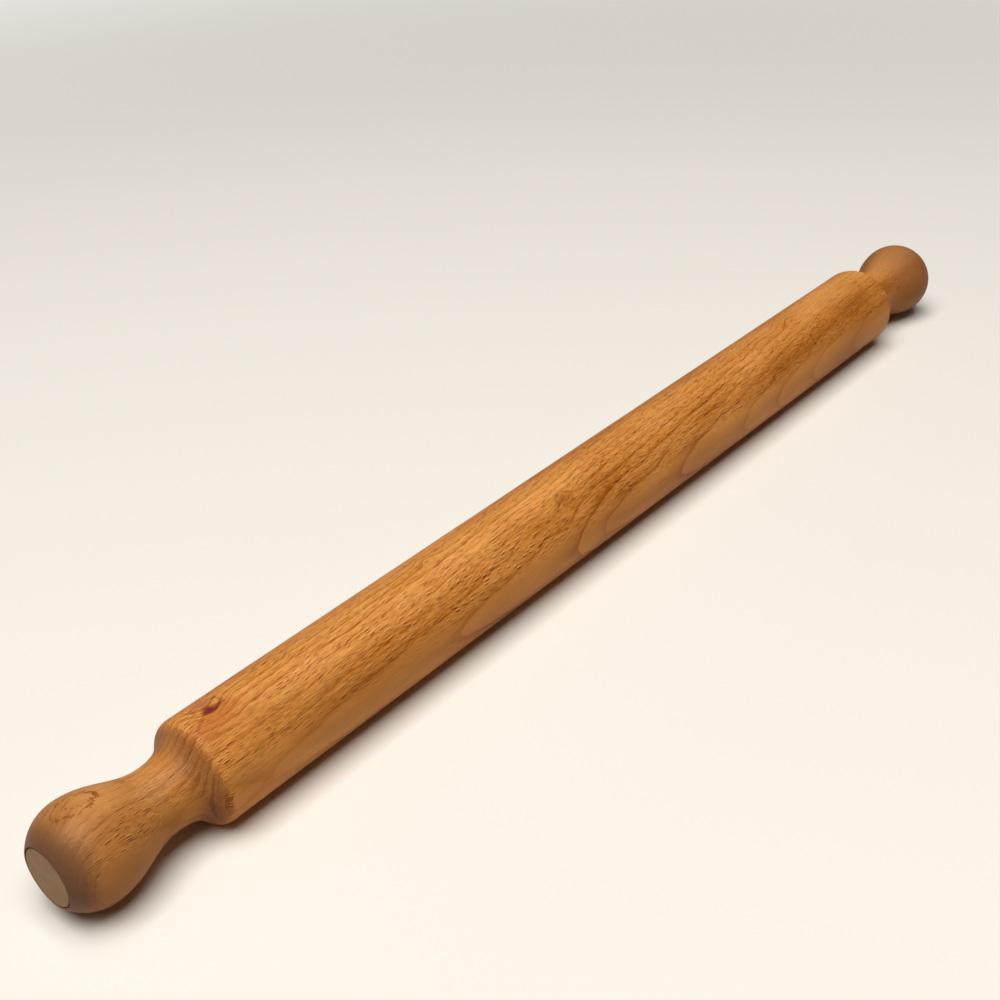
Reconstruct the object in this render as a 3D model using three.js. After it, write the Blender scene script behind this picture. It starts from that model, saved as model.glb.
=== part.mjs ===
// One-piece turned beech rolling pin with a wooden plug let into each handle end.
// Millimetres, +Z up. The pin lies along X and rests on its barrel at Z = 0,
// with the origin under the middle of the barrel.
import * as THREE from 'three';

// Driving dimensions, lengths along the pin
const barrelLength = 474; // full-diameter run between the two shoulders
const coveLength = 19; // shoulder to the narrowest point of the neck
const taperLength = 29.4; // neck to the widest point of the knob
const knobLength = 14.6; // widest point of the knob to the flat end

// Driving dimensions, diameters
const barrelDiameter = 42;
const neckDiameter = 25.3;
const knobDiameter = 39.2;
const endFaceDiameter = 23.8; // flat left by parting the knob off

// Plug in the handle end, and the seat bored for it
const endRimWidth = 0.3; // beech left standing round the seat
const plugSeamWidth = 0.3; // gap round the plug
const plugGlueGap = 0.3; // gap under the plug
const plugThickness = 6;
const plugEdgeBreak = 0.35; // small chamfer round the plug's face
const centreMarkDiameter = 6; // lathe centre's cone, hidden under the plug
const centreMarkDepth = 5;

// How far each end of a curve runs straight on before it bends, as a share of that curve's length
const knobFullness = 0.42;
const neckFullness = 0.35;
const coveFullness = 0.81;
const shoulderFullness = 0.39;

// Fineness of the facets
const facets = 48; // sides round the pin, with one side flat to the table
const curveSteps = 9; // steps along each curve of the outline

// Places along the axis, from the middle of the pin towards its near end
const shoulderPlace = barrelLength / 2;
const neckPlace = shoulderPlace + coveLength;
const knobPlace = neckPlace + taperLength;
const endPlace = knobPlace + knobLength;

const barrelRadius = barrelDiameter / 2;
const neckRadius = neckDiameter / 2;
const knobRadius = knobDiameter / 2;
const endFaceRadius = endFaceDiameter / 2;
const seatRadius = endFaceRadius - endRimWidth;
const seatDepth = plugThickness + plugGlueGap;
const plugRadius = seatRadius - plugSeamWidth;

const oiledBeech = new THREE.MeshStandardMaterial({ color: 0xb9763c, roughness: 0.45, metalness: 0 });
const bareBeech = new THREE.MeshStandardMaterial({ color: 0xc79a70, roughness: 0.7, metalness: 0 });

// Turns an outline of (radius, place) points about the axis.
// Radii are grown so that the flats, not the corners, lie at the turned radius.
function turned(outline) {
  const cornerGrowth = 1 / Math.cos(Math.PI / facets);
  const corners = outline.map((point) => new THREE.Vector2(point.x * cornerGrowth, point.y));
  return new THREE.LatheGeometry(corners, facets, Math.PI / facets);
}

// Half of the pin's outline, from the middle of the plug seat to the shoulder of the barrel.
function halfOutline() {
  const seatFloor = -endPlace + seatDepth;
  const outline = new THREE.Path();
  outline.moveTo(0, seatFloor + centreMarkDepth);
  outline.lineTo(centreMarkDiameter / 2, seatFloor);
  outline.lineTo(seatRadius, seatFloor);
  outline.lineTo(seatRadius, -endPlace);
  outline.lineTo(endFaceRadius, -endPlace);

  // Round end of the knob: an arc from the rim that is level at the widest point
  const rise = knobRadius - endFaceRadius;
  const endArcRadius = (knobLength ** 2 + rise ** 2) / (2 * rise);
  const endArcCentre = knobRadius - endArcRadius;
  const rimAngle = Math.atan2(-knobLength, endFaceRadius - endArcCentre);
  outline.absarc(endArcCentre, -knobPlace, endArcRadius, rimAngle, 0, false);

  // Taper from the knob into the neck
  outline.bezierCurveTo(
    knobRadius, -knobPlace + taperLength * knobFullness,
    neckRadius, -neckPlace - taperLength * neckFullness,
    neckRadius, -neckPlace,
  );

  // Cove from the neck up to the rounded shoulder
  outline.bezierCurveTo(
    neckRadius, -neckPlace + coveLength * coveFullness,
    barrelRadius, -shoulderPlace - coveLength * shoulderFullness,
    barrelRadius, -shoulderPlace,
  );
  return outline.getPoints(curveSteps);
}

function makePinBody() {
  const nearHalf = halfOutline();
  const farHalf = nearHalf.map((point) => new THREE.Vector2(point.x, -point.y)).reverse();
  const body = new THREE.Mesh(turned([...nearHalf, ...farHalf]), oiledBeech);
  body.name = 'pin_body';
  body.rotation.z = -Math.PI / 2; // turning axis to +X
  return body;
}

// A plug with its face at one end of the pin; side is -1 for the near end, 1 for the far end.
function makeEndPlug(name, side) {
  const outline = [
    new THREE.Vector2(0, 0),
    new THREE.Vector2(plugRadius - plugEdgeBreak, 0),
    new THREE.Vector2(plugRadius, plugEdgeBreak),
    new THREE.Vector2(plugRadius, plugThickness),
    new THREE.Vector2(0, plugThickness),
  ];
  const plug = new THREE.Mesh(turned(outline), bareBeech);
  plug.name = name;
  plug.position.x = side * endPlace;
  plug.rotation.z = side * Math.PI / 2; // thickness runs from the face into the handle
  return plug;
}

const rollingPin = new THREE.Group();
rollingPin.position.z = barrelRadius;
rollingPin.add(
  makePinBody(),
  makeEndPlug('left_end_plug', -1),
  makeEndPlug('right_end_plug', 1),
);

export default rollingPin;
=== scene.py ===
# Turned beech rolling pin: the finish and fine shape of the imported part
import math

import bpy
import numpy as np
from mathutils import Matrix, Vector


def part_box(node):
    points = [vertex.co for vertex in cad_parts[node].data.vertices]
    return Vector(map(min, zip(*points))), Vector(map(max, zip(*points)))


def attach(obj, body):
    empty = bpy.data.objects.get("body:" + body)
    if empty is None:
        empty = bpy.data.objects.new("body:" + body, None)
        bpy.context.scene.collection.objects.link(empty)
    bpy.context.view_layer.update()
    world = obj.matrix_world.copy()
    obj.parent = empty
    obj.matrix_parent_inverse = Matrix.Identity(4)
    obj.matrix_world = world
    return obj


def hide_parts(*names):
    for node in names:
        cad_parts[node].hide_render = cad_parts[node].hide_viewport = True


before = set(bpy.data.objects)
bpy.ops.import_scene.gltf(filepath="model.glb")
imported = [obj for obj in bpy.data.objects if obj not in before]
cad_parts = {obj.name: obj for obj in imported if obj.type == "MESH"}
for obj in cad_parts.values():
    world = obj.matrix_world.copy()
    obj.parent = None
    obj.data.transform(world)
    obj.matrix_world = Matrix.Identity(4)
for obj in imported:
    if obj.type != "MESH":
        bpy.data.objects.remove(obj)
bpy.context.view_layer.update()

mm = 0.001  # the scene is in metres, the sizes below in millimetres


def linear(hexColour):
    # sRGB hex to the linear values that Blender's sockets hold
    parts = [int(hexColour[i:i + 2], 16) / 255 for i in (1, 3, 5)]
    return [v / 12.92 if v <= 0.04045 else ((v + 0.055) / 1.055) ** 2.4 for v in parts] + [1.0]


def addNode(tree, kind, settings=None, inputs=None, out=0):
    # adds one node and returns one of its outputs; an input is a plain value or the output that feeds it
    node = tree.nodes.new(kind)
    for name, value in (settings or {}).items():
        setattr(node, name, value)
    for socket, value in (inputs or {}).items():
        if isinstance(value, bpy.types.NodeSocket):
            tree.links.new(value, node.inputs[socket])
        else:
            node.inputs[socket].default_value = value
    return node.outputs[out] if node.outputs else node


def newMaterial(name):
    material = bpy.data.materials.new(name)
    material.use_nodes = True
    material.node_tree.nodes.clear()
    return material, material.node_tree


# short names for the nodes and settings that come up often
vec, num, ranged = "ShaderNodeVectorMath", "ShaderNodeMath", "ShaderNodeMapRange"
noise, mix, join = "ShaderNodeTexNoise", "ShaderNodeMix", "ShaderNodeCombineXYZ"
times, madd = {"operation": "MULTIPLY"}, {"operation": "MULTIPLY_ADD"}
plus, minus, over = {"operation": "ADD"}, {"operation": "SUBTRACT"}, {"operation": "DIVIDE"}
dot, length, unsigned = {"operation": "DOT_PRODUCT"}, {"operation": "LENGTH"}, {"operation": "ABSOLUTE"}
smooth, blend = {"interpolation_type": "SMOOTHSTEP"}, {"data_type": "RGBA"}

# Camera: where the photograph was taken from, in the part's frame
view = {
    "place": (-445.0, -334.7, 346.3),
    "aim": (-11.3, 54.0, 0.0),  # point of the table at the middle of the picture
    "roll": -4.0,  # degrees, camera leaning to its right
    "lens": 50.93,  # for a 36 mm wide sensor and a square picture
}


def makeCamera():
    place = Vector(view["place"]) * mm
    back = (place - Vector(view["aim"]) * mm).normalized()
    level = Vector((0, 0, 1)).cross(back).normalized()
    turn = Matrix.Rotation(math.radians(view["roll"]), 3, back)
    right = turn @ level
    up = back.cross(right)
    lens = bpy.data.cameras.new("photoView")
    lens.sensor_width = 36
    lens.lens = view["lens"]
    lens.clip_start = 0.01
    camera = bpy.data.objects.new("photoView", lens)
    camera.matrix_world = Matrix((right, up, back)).transposed().to_4x4()
    camera.location = place
    bpy.context.scene.collection.objects.link(camera)
    bpy.context.scene.camera = camera


makeCamera()
print("camera set")

# Turned shape, from the flat end of a handle inwards
bodyLow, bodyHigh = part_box("pin_body")
pin = {
    "halfLength": (bodyHigh.x - bodyLow.x) / 2 / mm,
    "barrelRadius": (bodyHigh.z - bodyLow.z) / 2 / mm,
    "neckRadius": 12.65,
    "knobRadius": 19.6,
    "endRadius": 11.9,  # flat end of the knob
    "seatRadius": 11.6,  # bored for the plug
    "seatDepth": 6.3,
    "knobLength": 14.6,  # flat end to the knob's widest point
    "taperLength": 29.4,  # on to the neck
    "coveLength": 19.0,  # on to the shoulder
    # how far each end of a curve runs on level before it bends, as a share of the curve's length
    "knobFullness": 0.42,
    "neckFullness": 0.35,
    "coveFullness": 0.81,
    "shoulderFullness": 0.39,
    "edgeRound": 0.18,  # worn edge of the seat
    "sides": 160,
    "barrelSteps": 64,  # rings on half of the barrel
    "curveSteps": 30,  # rings on each curve of a handle
    "unevenness": 0.05,  # how far sanding by hand leaves the surface from true
    "waves": ((9.1, 2), (14.7, -3), (31.0, 1)),  # its waves: mm along for a radian, and waves round the pin
}
axisHeight = pin["barrelRadius"]


def easeCurve(start, end, startShare, endShare, steps):
    # curve between two (place, radius) points, level at both ends
    t = np.linspace(0, 1, steps + 1)[1:]
    span = end[0] - start[0]
    weights = ((1 - t) ** 3, 3 * (1 - t) ** 2 * t, 3 * (1 - t) * t ** 2, t ** 3)
    places = (start[0], start[0] + span * startShare, end[0] - span * endShare, end[0])
    radii = (start[1], start[1], end[1], end[1])
    return [(float(x), float(r)) for x, r in zip(np.dot(places, weights), np.dot(radii, weights))]


def halfOutline():
    # (place, radius) from the middle of the plug's seat to the middle of the barrel
    end, edge = pin["halfLength"], pin["edgeRound"]
    floor = end - pin["seatDepth"]
    points = [(floor, 0.0), (floor, pin["seatRadius"] * 0.5), (floor, pin["seatRadius"])]
    points += [(end - 2.0, pin["seatRadius"]), (end - edge, pin["seatRadius"])]
    points.append((end - 0.3 * edge, pin["seatRadius"] + 0.3 * edge))
    points.append((end, pin["seatRadius"] + edge))

    # round end of the knob, an arc that is level at the widest point
    rise = pin["knobRadius"] - pin["endRadius"]
    arcRadius = (pin["knobLength"] ** 2 + rise ** 2) / (2 * rise)
    knobPlace = end - pin["knobLength"]
    rimAngle = math.asin(pin["knobLength"] / arcRadius)
    for angle in np.linspace(rimAngle, 0, pin["curveSteps"] + 1):
        place = knobPlace + arcRadius * math.sin(angle)
        points.append((place, pin["knobRadius"] - arcRadius * (1 - math.cos(angle))))

    knob = (knobPlace, pin["knobRadius"])
    neck = (knobPlace - pin["taperLength"], pin["neckRadius"])
    shoulder = (neck[0] - pin["coveLength"], pin["barrelRadius"])
    points += easeCurve(knob, neck, pin["knobFullness"], pin["neckFullness"], pin["curveSteps"])
    points += easeCurve(neck, shoulder, pin["coveFullness"], pin["shoulderFullness"], pin["curveSteps"])
    for place in np.linspace(shoulder[0], 0, pin["barrelSteps"] + 1)[1:]:
        points.append((float(place), pin["barrelRadius"]))
    return points


def meshObject(name, vertices, faces, uvs):
    mesh = bpy.data.meshes.new(name)
    mesh.from_pydata(vertices, [], faces)
    layer = mesh.uv_layers.new(name="OFBake")
    layer.uv.foreach_set("vector", np.asarray(uvs, np.float32).ravel())
    mesh.polygons.foreach_set("use_smooth", [True] * len(mesh.polygons))
    mesh.set_sharp_from_angle(angle=math.radians(38))
    mesh.validate()
    piece = bpy.data.objects.new(name, mesh)
    bpy.context.scene.collection.objects.link(piece)
    return piece


def turnedPiece(name, outline, sides, strips, uneven=0.0):
    # revolves (place, radius) points that start and end on the axis, place running along -X to +X
    angles = np.arange(sides) * 2 * math.pi / sides
    along = np.concatenate([[0], np.cumsum([math.dist(a, b) for a, b in zip(outline, outline[1:])])])
    vertices, rings = [], []
    for (place, radius), run in zip(outline, along):
        if radius == 0:
            rings.append([len(vertices)] * sides)
            vertices.append((place * mm, 0.0, axisHeight * mm))
            continue
        wave = sum(np.sin(run / pitch + turns * angles) for pitch, turns in pin["waves"])
        reach = radius - uneven * (3 + wave) / 6  # never outside the true radius
        rings.append(list(range(len(vertices), len(vertices) + sides)))
        for angle, far in zip(angles, reach):
            y, z = -far * math.sin(angle), far * math.cos(angle)
            vertices.append((place * mm, y * mm, (axisHeight + z) * mm))

    # the map lays the outline out in strips of equal length, each the full way round
    faces, uvs = [], []
    stripLength = along[-1] / strips
    columns = math.ceil(math.sqrt(strips))
    rows = math.ceil(strips / columns)
    margin = 0.004
    for i in range(len(rings) - 1):
        strip = min(int((along[i] + along[i + 1]) / 2 / stripLength), strips - 1)
        column, row = strip % columns, strip // columns
        for j in range(sides):
            k = (j + 1) % sides
            corners = [(i, j), (i, j + 1), (i + 1, j + 1), (i + 1, j)]
            ids = [rings[i][j], rings[i][k], rings[i + 1][k], rings[i + 1][j]]
            kept = [n for n in range(4) if ids[n] not in ids[:n]]
            faces.append([ids[n] for n in kept])
            for n in kept:
                ring, side = corners[n]
                across = min(max(along[ring] / stripLength - strip, 0), 1)
                u = (column + margin + across * (1 - 2 * margin)) / columns
                v = (row + margin + side / sides * (1 - 2 * margin)) / rows
                uvs.append((u, v))
    return meshObject(name, vertices, faces, uvs)


def makeBody():
    half = halfOutline()
    outline = [(-place, radius) for place, radius in half]
    outline += [(place, radius) for place, radius in reversed(half[:-1])]
    return turnedPiece("pinBody", outline, pin["sides"], 4, pin["unevenness"])


# Wooden plug let into each handle end
plug = {
    "radius": 11.2,
    "thickness": 6.0,
    "edgeRound": 0.45,
    "sides": 96,
}


def makePlug(name, side):
    end, edge = pin["halfLength"], plug["edgeRound"]
    back = end - plug["thickness"]
    outline = [(end, 0.0), (end, plug["radius"] * 0.35), (end, plug["radius"] * 0.7)]
    outline.append((end, plug["radius"] - edge))
    for angle in np.linspace(0, math.pi / 2, 6)[1:]:
        place = end - edge * (1 - math.cos(angle))
        outline.append((place, plug["radius"] - edge * (1 - math.sin(angle))))
    outline += [(back, plug["radius"]), (back, plug["radius"] * 0.5), (back, 0.0)]
    if side < 0:
        outline = [(-place, radius) for place, radius in outline]
    else:
        outline = outline[::-1]
    return turnedPiece(name, outline, plug["sides"], 1)


body = makeBody()
nearPlug = makePlug("nearEndPlug", -1)
farPlug = makePlug("farEndPlug", 1)
print("turned", body.name, len(body.data.polygons), "faces")

# Oiled beech, lathe turned and sanded: honey orange, wavy fibres, rows of dark ray dashes, each with a
# painted highlight, broad growth arches low on the front, darker end grain, painted shade in the coves and
# towards the far end, and a low sheen from the oil
beech = {
    # from the darkest ray to the palest fibre
    "tones": ((0.0, "#6A2E02"), (0.25, "#A55C12"), (0.5, "#CC843C"), (0.75, "#E49D52"), (1.0, "#F4B975")),
    # brown for end grain and worn handles, also used for painted shade in the coves and on the far handle
    "endGrainWearAndShade": "#724B34",
    "knot": "#6E2416",
    "ringWidth": 3.4,  # mm between growth lines
    "ringFacing": 95.0,  # degrees from the top, towards the front, that the rings face
    "pithDistance": 118.5,
    # how many growth lines have broken out in front, up to each place along the pin
    "arches": (
        (-300, 0.0), (-282, 0.34), (-256, 1.5), (-241, 1.22), (-220, 1), (-123, 2), (-46, 3), (-27, 4),
        (34, 5), (88, 6), (120, 7), (158, 8), (200, 9), (260, 10), (300, 11),
    ),
    "spiral": -0.03,  # mm that the fibres climb round the tree, per mm along the pin
    "rayLength": 4.8,  # mm along the fibres, of the cell that holds one ray
    "rayWidth": 0.7,  # and across them
    # mm along, across, and how far the fibres wander outwards from the pith and round it
    "wander": ((95, 30, 3.5, 10.0), (19, 8, 2.0, 2.6), (6, 3, 0.8, 0.6)),
    # mm along, across, and how strongly each size of fibre streak shows
    "streaks": ((30, 1.3, 0.35), (5.5, 0.8, 0.42), (2.6, 0.4, 0.48)),
    "patches": (60, 14, 0.5),
    # mm from the middle of the pin between which each change comes in
    "fromMiddle": {
        "handled": (238.0, 285.0), "tip": (268.0, 276.0), "knobEnd": (282.0, 297.0),
        # the cove band drawn darker is end grain and painted shade in the hollow
        "coveStart": (239.3, 242.6), "coveEnd": (253.5, 243.5),
    },
    # the same along the pin: darker from the middle on; duller and calmer to the right, and darker there as
    # painted shade where the light falls off
    "along": {"deeper": (-180.0, 20.0), "farther": (75.0, 190.0)},
    "markDepths": (4.0, 9.0),  # mm out from the axis over which a knot or patch comes in
    # how much each adds to the tone, which runs from 0, darkest, to 1, palest
    "lineTone": -0.32,
    "fineLineTone": -0.25,
    "rayTone": -0.66,
    # painted highlight beside each ray dash
    "paintedHighlightTone": 0.34,
    # mm that each stands proud
    "rayHeight": -0.03,
    "lineHeight": -0.015,
    "fibreHeight": 0.08,
    "roughness": 0.5,
    "rayRoughness": 0.18,  # more than the rest
    "specular": 0.15,
}
# where the rings swell round a buried branch, or the ray dashes come thicker or thinner: place along the
# pin, angle from the top, half sizes along and across the fibres, how far the rings are lifted (mm), how
# much darker they are drawn, and how many more dashes show
swells = [
    {"place": -228.5, "angle": 0.0, "long": 7.0, "wide": 5.5, "lift": -5.0, "dark": 0.6},
    {"place": -42.5, "angle": 32.0, "long": 6.0, "wide": 3.2, "lift": 4.5, "dark": 0.7},
    {"place": 37.0, "angle": -9.0, "long": 6.0, "wide": 4.0, "lift": 4.0, "dark": 0.35},
    {"place": 160.0, "angle": 0.0, "long": 8.0, "wide": 4.5, "lift": 4.0, "dark": 0.35},
    {"place": -116.0, "angle": -5.5, "long": 4.5, "wide": 2.8, "lift": 3.0, "dark": 0.35},
    {"place": -285.0, "angle": -5.0, "long": 6.8, "wide": 6.0, "lift": 3.5, "dark": 0.3},
    {"place": -222.0, "angle": 20.0, "long": 14.0, "wide": 12.0, "dashes": -0.5},
    {"place": -283.0, "angle": 62.0, "long": 9.0, "wide": 6.0, "dashes": 0.55},
    {"place": -264.0, "angle": 44.0, "long": 8.0, "wide": 3.0, "dashes": 0.6},
    {"place": -244.0, "angle": 25.0, "long": 7.0, "wide": 6.0, "dashes": 0.4},
    {"place": -226.0, "angle": 48.0, "long": 14.0, "wide": 8.0, "dashes": -0.35},
]
# marks laid over the grain one after another: long streaks, patches that are a little darker or paler,
# then knots and their halos; slant is the rise per mm along the pin, dark the share of the tint, and
# hollow leaves only a ragged ring, thinner the higher it is
stains = [
    {"place": 178.0, "angle": 48.0, "long": 55.0, "wide": 1.0, "slant": -0.09, "dark": 0.35,
     "tint": "#8A5018"},
    {"place": 205.0, "angle": 43.0, "long": 40.0, "wide": 0.8, "slant": -0.02, "dark": 0.25,
     "tint": "#8A5018"},
    {"place": 207.0, "angle": 17.0, "long": 24.0, "wide": 9.0, "dark": 0.16, "tint": "#8A5018"},
    {"place": -207.0, "angle": 48.0, "long": 24.0, "wide": 9.0, "dark": 0.14, "tint": "#E2A058"},
    {"place": -295.0, "angle": 5.0, "long": 7.0, "wide": 11.0, "dark": 0.12, "tint": "#5A3A20"},
    {"place": -284.0, "angle": 92.0, "long": 11.0, "wide": 10.0, "dark": 0.15, "tint": "#6A4628"},
    {"place": -258.0, "angle": 70.0, "long": 18.0, "wide": 7.0, "dark": 0.35, "tint": "#8A5524"},
    {"place": -298.0, "angle": 58.0, "long": 9.0, "wide": 14.0, "dark": 0.5, "tint": "#66462E"},
    {"place": -259.0, "angle": 28.0, "long": 9.0, "wide": 6.0, "dark": 0.15, "tint": "#DDB080"},
    {"place": -252.0, "angle": -8.0, "long": 7.0, "wide": 10.0, "dark": 0.25, "tint": "#A8682C"},
    {"place": -277.0, "angle": 0.0, "long": 9.0, "wide": 9.0, "dark": 0.3, "tint": "#E8A860"},
    {"place": -229.0, "angle": 13.0, "long": 12.0, "wide": 5.0, "slant": -0.15, "dark": 0.42,
     "tint": "#B2561E"},
    {"place": -182.0, "angle": 80.0, "long": 45.0, "wide": 9.0, "dark": 0.12, "tint": "#8A5524"},
    {"place": -233.0, "angle": 73.0, "long": 14.0, "wide": 6.5, "dark": 0.35, "tint": "#8A5524"},
    {"place": -226.4, "angle": -1.0, "long": 5.2, "wide": 1.2, "slant": 0.12, "dark": 0.65},
    {"place": -228.4, "angle": 1.5, "long": 3.4, "wide": 1.3, "slant": 0.1, "dark": 0.9},
    {"place": -228.2, "angle": -3.0, "long": 1.5, "wide": 1.9, "slant": 0.2, "dark": 0.9},
    {"place": -227.6, "angle": -8.0, "long": 5.6, "wide": 4.2, "slant": 0.1, "dark": 0.3, "hollow": 6.0},
    {"place": -227.5, "angle": -16.0, "long": 3.0, "wide": 5.0, "dark": 0.4, "tint": "#B0604A"},
    {"place": -235.5, "angle": 9.5, "long": 6.0, "wide": 0.8, "slant": -0.62, "dark": 0.38,
     "tint": "#7A3A14"},
    {"place": -43.0, "angle": 32.0, "long": 5.0, "wide": 3.0, "slant": 0.1, "dark": 0.5,
     "hollow": 5.0, "tint": "#8A4810"},
    {"place": -43.0, "angle": 32.0, "long": 5.0, "wide": 3.0, "slant": 0.1, "dark": 0.3, "tint": "#A05A22"},
    {"place": -44.0, "angle": 32.0, "long": 2.2, "wide": 1.2, "slant": -0.3, "dark": 0.35},
    {"place": -284.3, "angle": -4.0, "long": 7.6, "wide": 5.2, "dark": 0.75,
     "hollow": 11.0, "tint": "#8A4810"},
    {"place": -282.0, "angle": -4.0, "long": 5.2, "wide": 3.2, "dark": 0.6,
     "hollow": 8.5, "tint": "#8A4810"},
]


def facing(angle):
    # unit vector square to the pin, at an angle from the top towards the front
    turn = math.radians(angle)
    return Vector((0, -math.sin(turn), math.cos(turn)))


def overMark(tree, inPin, mark, most):
    # where a point lies over a mark, in half sizes along and across it, and how far it is on the mark's
    # side of the pin, from 0 to most
    offset = addNode(tree, vec, minus, {0: inPin, 1: (mark["place"], 0, 0)})
    along = addNode(tree, vec, dot, {0: offset, 1: (1 / mark["long"], 0, 0)}, "Value")
    sheared = facing(mark["angle"] + 90) - Vector((mark.get("slant", 0.0), 0, 0))
    aside = addNode(tree, vec, dot, {0: offset, 1: sheared / mark["wide"]}, "Value")
    front = addNode(tree, vec, dot, {0: offset, 1: facing(mark["angle"])}, "Value")
    low, high = beech["markDepths"]
    onSide = addNode(tree, ranged, None, {0: front, 1: low, 2: high, 4: most})
    return addNode(tree, join, None, {0: along, 1: aside}), onSide


def oiledBeech():
    material, tree = newMaterial("oiledBeech")
    outwards, aroundAxis = facing(beech["ringFacing"]), facing(beech["ringFacing"] - 90)

    texture = addNode(tree, "ShaderNodeTexCoord").node
    inPin = addNode(tree, vec, madd, {
        0: texture.outputs["Object"], 1: (1 / mm,) * 3, 2: (0, 0, -axisHeight)})
    axial = addNode(tree, "ShaderNodeSeparateXYZ", None, {0: inPin})
    fromMiddle = addNode(tree, num, unsigned, {0: axial})
    masks = {}
    for source, reaches in ((fromMiddle, beech["fromMiddle"]), (axial, beech["along"])):
        for name, (low, high) in reaches.items():
            masks[name] = addNode(tree, ranged, smooth, {0: source, 1: low, 2: high})
    handled, deeper, farther = masks["handled"], masks["deeper"], masks["farther"]

    # which way the surface faces: across the fibres, square to the rings or half so, or along the rays
    faces = []
    for direction, low, high in (
        ((1, 0, 0), 0.3, 0.85), (outwards, 0.84, 0.995), (outwards, 0.2, 0.75), (aroundAxis, 0.92, 1.0),
    ):
        face = addNode(tree, vec, dot, {0: texture.outputs["Normal"], 1: direction}, "Value")
        face = addNode(tree, num, unsigned, {0: face})
        faces.append(addNode(tree, ranged, smooth, {0: face, 1: low, 2: high}))
    ends, flatSawn, riftSawn, quarterSawn = faces
    ends = addNode(tree, num, times, {0: ends, 1: masks["tip"]})
    # cove band: end grain plus painted shade in the hollow
    ends = addNode(tree, num, madd, {0: masks["coveStart"], 1: masks["coveEnd"], 2: ends})

    # fibres: slow wander, then ripples that die out on the flat-sawn face
    grain = inPin
    calm = addNode(tree, num, madd, {0: flatSawn, 1: -0.85, 2: 1.0})
    for long, wide, reachOut, reachRound in beech["wander"]:
        cells = addNode(tree, vec, times, {0: inPin, 1: (1 / long, 1 / wide, 1 / wide)})
        drift = addNode(tree, noise, None, {"Vector": cells, "Scale": 1.0, "Detail": 0.5}, "Color")
        drift = addNode(tree, vec, minus, {0: drift, 1: (0.5, 0.5, 0.5)})
        calmed = addNode(tree, num, times, {0: calm, 1: reachOut})
        reach = addNode(tree, join, None, {1: calmed, 2: reachRound})
        grain = addNode(tree, vec, madd, {0: drift, 1: reach, 2: grain})

    # rings lifted, and drawn darker, round each buried branch
    boost = addNode(tree, num, madd, {0: handled, 1: -0.35, 2: 1.0})
    boost = addNode(tree, num, madd, {0: farther, 1: -0.6, 2: boost})
    dashed = addNode(tree, num, madd, {0: handled, 1: -0.65, 2: 1.0})
    for swell in swells:
        flat, onSide = overMark(tree, inPin, swell, 1.0)
        away = addNode(tree, vec, dot, {0: flat, 1: flat}, "Value")
        fall = addNode(tree, num, {"operation": "POWER"}, {0: math.exp(-1), 1: away})
        share = addNode(tree, num, times, {0: fall, 1: onSide})
        lift = outwards * swell.get("lift", 0.0)
        shift = addNode(tree, vec, {"operation": "SCALE"}, {0: lift, "Scale": share})
        grain = addNode(tree, vec, plus, {0: grain, 1: shift})
        boost = addNode(tree, num, madd, {0: share, 1: swell.get("dark", 0.0) * 2, 2: boost})
        dashed = addNode(tree, num, madd, {0: share, 1: swell.get("dashes", 0.0), 2: dashed})

    # the tree's own directions: outwards from the pith, climbing a ring at each arch, and round it
    end, count = beech["arches"][-1]
    places = addNode(tree, ranged, None, {0: axial, 1: -end, 2: end})
    climb = addNode(tree, "ShaderNodeValToRGB", None, {0: places})
    climb.node.color_ramp.interpolation = "CARDINAL"
    stops = climb.node.color_ramp.elements
    for place, lines in beech["arches"]:
        stop = stops.new((place + end) / (2 * end))
        stop.color = (lines / count,) * 3 + (1,)
    stops.remove(stops[0])  # the two that the ramp came with
    stops.remove(stops[-1])
    depth = addNode(tree, vec, dot, {0: grain, 1: outwards}, "Value")
    depth = addNode(tree, num, madd, {0: climb, 1: count * beech["ringWidth"], 2: depth})
    aroundTree = addNode(tree, vec, dot, {0: grain, 1: aroundAxis}, "Value")
    fromPith = addNode(tree, num, plus, {0: depth, 1: beech["pithDistance"]})
    section = addNode(tree, join, None, {0: fromPith, 1: aroundTree})
    ringRadius = addNode(tree, vec, length, {0: section}, "Value")
    twist = addNode(tree, vec, {"operation": "SCALE"}, {0: aroundAxis * beech["spiral"], "Scale": axial})
    fibres = addNode(tree, vec, plus, {0: grain, 1: twist})

    # growth rings: each year darkening to a line and starting again pale
    years = addNode(tree, num, over, {0: ringRadius, 1: beech["ringWidth"]})
    season = addNode(tree, num, {"operation": "FRACT"}, {0: years})
    yearNumber = addNode(tree, num, {"operation": "FLOOR"}, {0: years})
    vigour = addNode(tree, "ShaderNodeTexWhiteNoise", {"noise_dimensions": "1D"}, {"W": yearNumber})
    ramp = addNode(tree, "ShaderNodeValToRGB", None, {0: season})
    stops = ramp.node.color_ramp.elements
    stops[0].position, stops[1].position = 0.0, 0.95
    stops[0].color = (0.3, 0.3, 0.3, 1)
    for at, grey in ((0.1, 0.0), (0.55, 0.14), (0.8, 0.4), (0.89, 0.65)):
        stops.new(at).color = (grey, grey, grey, 1)
    strength = addNode(tree, ranged, None, {0: vigour, 3: 0.4, 4: 1.0})
    strength = addNode(tree, num, times, {0: strength, 1: boost})
    rings = addNode(tree, num, times, {0: ramp, 1: strength})
    fine = addNode(tree, noise, {"noise_dimensions": "1D"}, {"W": years, "Scale": 1.7, "Detail": 0.0})
    fine = addNode(tree, num, minus, {0: fine, 1: 0.5})
    fine = addNode(tree, num, unsigned, {0: fine})
    fine = addNode(tree, ranged, smooth, {0: fine, 1: 0.09, 2: 0.02})
    fine = addNode(tree, num, times, {0: fine, 1: ends})
    fine = addNode(tree, num, times, {0: fine, 1: riftSawn})
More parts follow.
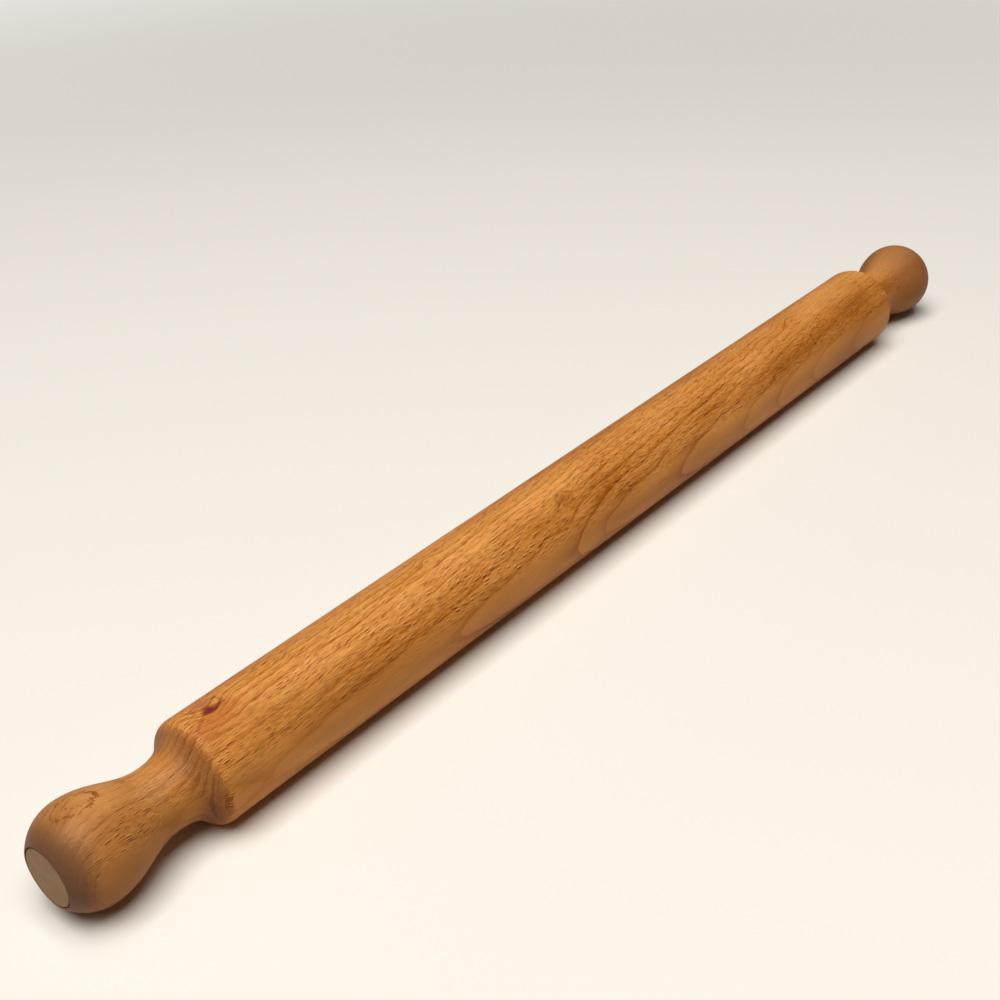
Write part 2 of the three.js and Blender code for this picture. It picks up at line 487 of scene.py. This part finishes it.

    # rays: dashes in wavy rows along the fibres, each with a painted highlight half a row aside; few on the
    # flat-sawn and quartered faces
    across, height = axial.node.outputs[1:]
    around = addNode(tree, num, {"operation": "ARCTAN2"}, {0: across, 1: height})
    wander = addNode(tree, vec, minus, {0: inPin, 1: fibres})
    wander = addNode(tree, vec, dot, {0: wander, 1: aroundAxis}, "Value")
    row = addNode(tree, num, madd, {0: around, 1: -pin["barrelRadius"], 2: wander})
    cells = addNode(tree, join, None, {0: axial, 1: row})
    cells = addNode(tree, vec, times, {0: cells, 1: (1 / beech["rayLength"], 1 / beech["rayWidth"], 0)})
    flat2d = {"voronoi_dimensions": "2D"}
    dashes = []
    for aside in (0.0, 0.5):
        beside = addNode(tree, vec, plus, {0: cells, 1: (0.0, aside, 0.0)})
        ray = addNode(tree, "ShaderNodeTexVoronoi", flat2d, {
            "Vector": beside, "Scale": 1.0, "Randomness": 0.75}, "Distance")
        chance = addNode(tree, "ShaderNodeSeparateXYZ", None, {0: ray.node.outputs["Color"]}).node
        share = addNode(tree, num, madd, {0: chance.outputs[0], 1: 0.2, 2: 0.17})
        share = addNode(tree, num, madd, {0: ramp, 1: 0.16, 2: share})
        spread = addNode(tree, num, over, {0: ray, 1: share})
        dash = addNode(tree, ranged, smooth, {0: spread, 1: 1.0, 2: 0.7})
        depthOfTone = addNode(tree, ranged, None, {0: chance.outputs[1], 1: 0.4, 2: 0.75})
        dashes.append(addNode(tree, num, times, {0: dash, 1: depthOfTone}))
    fade = addNode(tree, num, madd, {0: quarterSawn, 1: -0.25, 2: dashed})
    fade = addNode(tree, num, madd, {0: flatSawn, 1: -0.9, 2: fade})
    fade = addNode(tree, num, madd, {0: farther, 1: -0.55, 2: fade})
    clamped = {"operation": "SUBTRACT", "use_clamp": True}
    fade = addNode(tree, num, clamped, {0: fade, 1: ends})
    rays, paintedRayHighlights = [addNode(tree, num, times, {0: dash, 1: fade}) for dash in dashes]

    # pale and dark fibre streaks, and slow patches
    streaky = addNode(tree, num, madd, {0: flatSawn, 1: -0.8, 2: 1.0})
    streaky = addNode(tree, num, madd, {0: ends, 1: -0.4, 2: streaky})
    streaky = addNode(tree, num, madd, {0: handled, 1: -0.35, 2: streaky})
    streaky = addNode(tree, num, madd, {0: farther, 1: -0.3, 2: streaky})
    streaky = addNode(tree, num, {"operation": "MAXIMUM"}, {0: streaky, 1: 0.15})
    tone = 0.5
    for long, wide, share in (*beech["streaks"], beech["patches"]):
        patchy = (long, wide, share) == beech["patches"]
        source = inPin if patchy else fibres
        cells = addNode(tree, vec, times, {0: source, 1: (1 / long, 1 / wide, 1 / wide)})
        streak = addNode(tree, noise, None, {"Vector": cells, "Scale": 1.0, "Detail": 1.5})
        streak = addNode(tree, num, minus, {0: streak, 1: 0.5})
        if not patchy:
            streak = addNode(tree, num, times, {0: streak, 1: streaky})
        tone = addNode(tree, num, madd, {0: streak, 1: share, 2: tone})
    fibre = tone

    # end grain drinks more oil, and the handles have darkened in use; the cove band adds painted shade,
    # each knob is drawn darker towards its end, and the far handle is drawn darker still as painted shade
    wearAndShade = addNode(tree, num, times, {0: handled, 1: 0.35})
    wearAndShade = addNode(tree, num, madd, {0: ends, 1: 0.5, 2: wearAndShade})
    wearAndShade = addNode(tree, num, madd, {0: masks["knobEnd"], 1: 0.15, 2: wearAndShade})
    # painted shade: the far handle drawn darker where the light falls off
    paintedFarShade = addNode(tree, num, times, {0: farther, 1: handled})
    wearAndShade = addNode(tree, num, madd, {0: paintedFarShade, 1: 0.22, 2: wearAndShade})

    # colour
    lines = addNode(tree, num, madd, {0: riftSawn, 1: 0.04, 2: beech["lineTone"]})
    lines = addNode(tree, num, madd, {0: flatSawn, 1: 0.03, 2: lines})
    tone = addNode(tree, num, madd, {0: rings, 1: lines, 2: tone})
    tone = addNode(tree, num, madd, {0: fine, 1: beech["fineLineTone"], 2: tone})
    # painted highlight beside each ray dash
    tone = addNode(tree, num, madd, {0: paintedRayHighlights, 1: beech["paintedHighlightTone"], 2: tone})
    tone = addNode(tree, num, madd, {0: rays, 1: beech["rayTone"], 2: tone})
    tone = addNode(tree, num, madd, {0: deeper, 1: -0.012, 2: tone})
    # rift-sawn faces drawn darker, more so towards the far end, where the extra is painted shade
    shaded = addNode(tree, num, madd, {0: farther, 1: -0.08, 2: -0.17})
    shaded = addNode(tree, num, madd, {0: deeper, 1: -0.035, 2: shaded})
    tone = addNode(tree, num, madd, {0: riftSawn, 1: shaded, 2: tone})
    paler = addNode(tree, num, madd, {0: handled, 1: -0.12, 2: 0.12})
    tone = addNode(tree, num, madd, {0: flatSawn, 1: paler, 2: tone})
    # darker on end grain, and in the coves painted shade as well
    tone = addNode(tree, num, madd, {0: ends, 1: -0.12, 2: tone})
    tone = addNode(tree, num, plus, {0: tone, 1: 0.13})
    palette = addNode(tree, "ShaderNodeValToRGB", None, {0: tone})
    stops = palette.node.color_ramp.elements
    stops[0].color, stops[1].color = linear(beech["tones"][0][1]), linear(beech["tones"][-1][1])
    for at, colour in beech["tones"][1:-1]:
        stops.new(at).color = linear(colour)
    # end-grain brown mixed in for end grain, wear and painted shade
    colour = addNode(tree, mix, blend, {0: wearAndShade, 6: palette, 7: linear(beech["endGrainWearAndShade"])}, 2)
    speckle = addNode(tree, noise, None, {"Vector": inPin, "Scale": 0.8, "Detail": 0.5})
    ragged = addNode(tree, noise, None, {"Vector": inPin, "Scale": 0.45, "Detail": 1.0})
    for stain in stains:
        flat, onSide = overMark(tree, inPin, stain, stain["dark"])
        away = addNode(tree, vec, length, {0: flat}, "Value")
        if "hollow" in stain:
            away = addNode(tree, num, madd, {0: ragged, 1: 0.7, 2: away})
            away = addNode(tree, num, minus, {0: away, 1: 1.35})
            away = addNode(tree, num, unsigned, {0: away})
            away = addNode(tree, num, times, {0: away, 1: stain["hollow"]})
            broken = addNode(tree, ranged, smooth, {0: speckle, 1: 0.3, 2: 0.52})
            onSide = addNode(tree, num, times, {0: onSide, 1: broken})
        away = addNode(tree, num, madd, {0: fibre, 1: 1.6, 2: away})
        core = addNode(tree, ranged, smooth, {0: away, 1: 2.1, 2: 1.2})
        core = addNode(tree, num, times, {0: core, 1: onSide})
        tint = linear(stain.get("tint", beech["knot"]))
        colour = addNode(tree, mix, blend, {0: core, 6: colour, 7: tint}, 2)

    # surface: rays and growth lines stand a little below the polish
    low = addNode(tree, num, times, {0: rays, 1: beech["rayHeight"]})
    low = addNode(tree, num, madd, {0: rings, 1: beech["lineHeight"], 2: low})
    low = addNode(tree, num, madd, {0: fibre, 1: beech["fibreHeight"], 2: low})
    bump = addNode(tree, "ShaderNodeBump", None, {"Height": low, "Distance": mm, "Strength": 0.9})
    rough = addNode(tree, num, madd, {0: rays, 1: beech["rayRoughness"], 2: beech["roughness"]})
    shader = addNode(tree, "ShaderNodeBsdfPrincipled", None, {
        "Base Color": colour, "Roughness": rough, "Specular IOR Level": beech["specular"], "Normal": bump})
    addNode(tree, "ShaderNodeOutputMaterial", None, {0: shader})
    return material


# Bare beech end grain, sawn and sanded: pale tan and matt, with tiny pores, stained by oil at its rim
bareEnd = {
    "pale": "#A17E57",
    "dark": "#8C6842",
    "stain": "#5F3C20",
    "pore": 0.35,  # mm, drawn coarser than real so that it shows
    "sawPitch": 0.6,  # mm between saw lines
    "sawLength": 15.0,
    "sawDepth": 0.03,
    "stainWidth": 0.7,  # oil creeping in from the rim
    "roughness": 0.72,
}


def bareBeech():
    material, tree = newMaterial("bareBeech")
    pale, dark = linear(bareEnd["pale"]), linear(bareEnd["dark"])
    texture = addNode(tree, "ShaderNodeTexCoord").node
    inPin = addNode(tree, vec, madd, {
        0: texture.outputs["Object"], 1: (1 / mm,) * 3, 2: (0, 0, -axisHeight)})
    pores = addNode(tree, "ShaderNodeTexVoronoi", None, {
        "Vector": inPin, "Scale": 1 / bareEnd["pore"]}, "Distance")
    cells = addNode(tree, vec, times, {0: inPin, 1: (0, 1 / bareEnd["sawLength"], 1 / bareEnd["sawPitch"])})
    saw = addNode(tree, noise, None, {"Vector": cells, "Scale": 1.0, "Detail": 2.0})
    cloud = addNode(tree, noise, None, {"Vector": inPin, "Scale": 0.16, "Detail": 3.0})
    share = addNode(tree, num, madd, {0: pores, 1: -0.25, 2: cloud})
    share = addNode(tree, num, madd, {0: saw, 1: 0.3, 2: share})
    share = addNode(tree, ranged, None, {0: share, 1: 0.3, 2: 0.75})
    colour = addNode(tree, mix, blend, {0: share, 6: dark, 7: pale}, 2)
    radius = addNode(tree, vec, times, {0: inPin, 1: (0, 1, 1)})
    radius = addNode(tree, vec, length, {0: radius}, "Value")
    rim = addNode(tree, ranged, smooth, {
        0: radius, 1: plug["radius"] - bareEnd["stainWidth"], 2: plug["radius"], 4: 0.8})
    colour = addNode(tree, mix, blend, {0: rim, 6: colour, 7: linear(bareEnd["stain"])}, 2)
    bump = addNode(tree, "ShaderNodeBump", None, {
        "Height": saw, "Distance": bareEnd["sawDepth"] * mm, "Strength": 0.6})
    shader = addNode(tree, "ShaderNodeBsdfPrincipled", None, {
        "Base Color": colour, "Roughness": bareEnd["roughness"], "Normal": bump})
    addNode(tree, "ShaderNodeOutputMaterial", None, {0: shader})
    return material


oiled, bare = oiledBeech(), bareBeech()
for piece, node, slot, material in (
    (body, "pin_body", "oiled_beech", oiled),
    (nearPlug, "left_end_plug", "bare_beech", bare),
    (farPlug, "right_end_plug", "bare_beech", bare),
):
    piece.data.materials.append(material)
    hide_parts(node)
    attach(piece, "root")
print("materials on")

# Plain pale floor and soft light, mostly from overhead
studio = {
    "floorColour": "#F3EDE2",
    "bounceColour": "#CCC4B4",  # what the floor throws back up at the pin
    "floorSize": 9.0,  # metres
    "fade": (0.6, 2.2),  # metres from the pin over which the floor passes into the backdrop
    "skyColour": "#FAF8F4",
    "skyStrength": 0.03,
    "mirrored": 0.22,  # share of the bright backdrop that the oiled surface mirrors
    "lampPlace": (-0.9, -0.5, 3.0),
    "lampSize": 2.5,
    "lampPower": 127.0,
}


def makeStudio():
    half = studio["floorSize"] / 2
    corners = [(-half, -half, 0), (half, -half, 0), (half, half, 0), (-half, half, 0)]
    mesh = bpy.data.meshes.new("floor")
    mesh.from_pydata(corners, [], [(0, 1, 2, 3)])
    floor = bpy.data.objects.new("floor", mesh)
    bpy.context.scene.collection.objects.link(floor)
    material, tree = newMaterial("paleFloor")
    path = addNode(tree, "ShaderNodeLightPath").node
    seen = addNode(tree, num, {"operation": "MAXIMUM"}, {
        0: path.outputs["Is Camera Ray"], 1: path.outputs["Is Glossy Ray"]})
    colour = addNode(tree, mix, blend, {
        0: seen, 6: linear(studio["bounceColour"]), 7: linear(studio["floorColour"])}, 2)
    shader = addNode(tree, "ShaderNodeBsdfPrincipled", None, {"Base Color": colour, "Roughness": 0.85})
    place = addNode(tree, "ShaderNodeTexCoord", None, None, "Object")
    away = addNode(tree, vec, length, {0: place}, "Value")
    away = addNode(tree, ranged, smooth, {0: away, 1: studio["fade"][0], 2: studio["fade"][1]})
    away = addNode(tree, num, times, {0: away, 1: path.outputs["Is Camera Ray"]})
    backdrop = addNode(tree, "ShaderNodeEmission", None, {0: linear(studio["skyColour"])})
    shader = addNode(tree, "ShaderNodeMixShader", None, {0: away, 1: shader, 2: backdrop})
    addNode(tree, "ShaderNodeOutputMaterial", None, {0: shader})
    mesh.materials.append(material)

    world = bpy.data.worlds.new("studioSky")
    bpy.context.scene.world = world
    world.use_nodes = True
    tree = world.node_tree
    sky = tree.nodes["Background"]
    path = addNode(tree, "ShaderNodeLightPath").node
    share = addNode(tree, num, {"operation": "MULTIPLY_ADD", "use_clamp": True}, {
        0: path.outputs["Is Glossy Ray"], 1: studio["mirrored"], 2: path.outputs["Is Camera Ray"]})
    strength = addNode(tree, ranged, None, {0: share, 3: studio["skyStrength"], 4: 1.0})
    sky.inputs["Color"].default_value = linear(studio["skyColour"])
    tree.links.new(strength, sky.inputs["Strength"])

    light = bpy.data.lights.new("softLamp", "AREA")
    light.size = studio["lampSize"]
    light.energy = studio["lampPower"]
    lamp = bpy.data.objects.new("softLamp", light)
    lamp.location = studio["lampPlace"]
    bpy.context.scene.collection.objects.link(lamp)


makeStudio()
bpy.context.scene.view_settings.view_transform = "Standard"
print("studio lit")
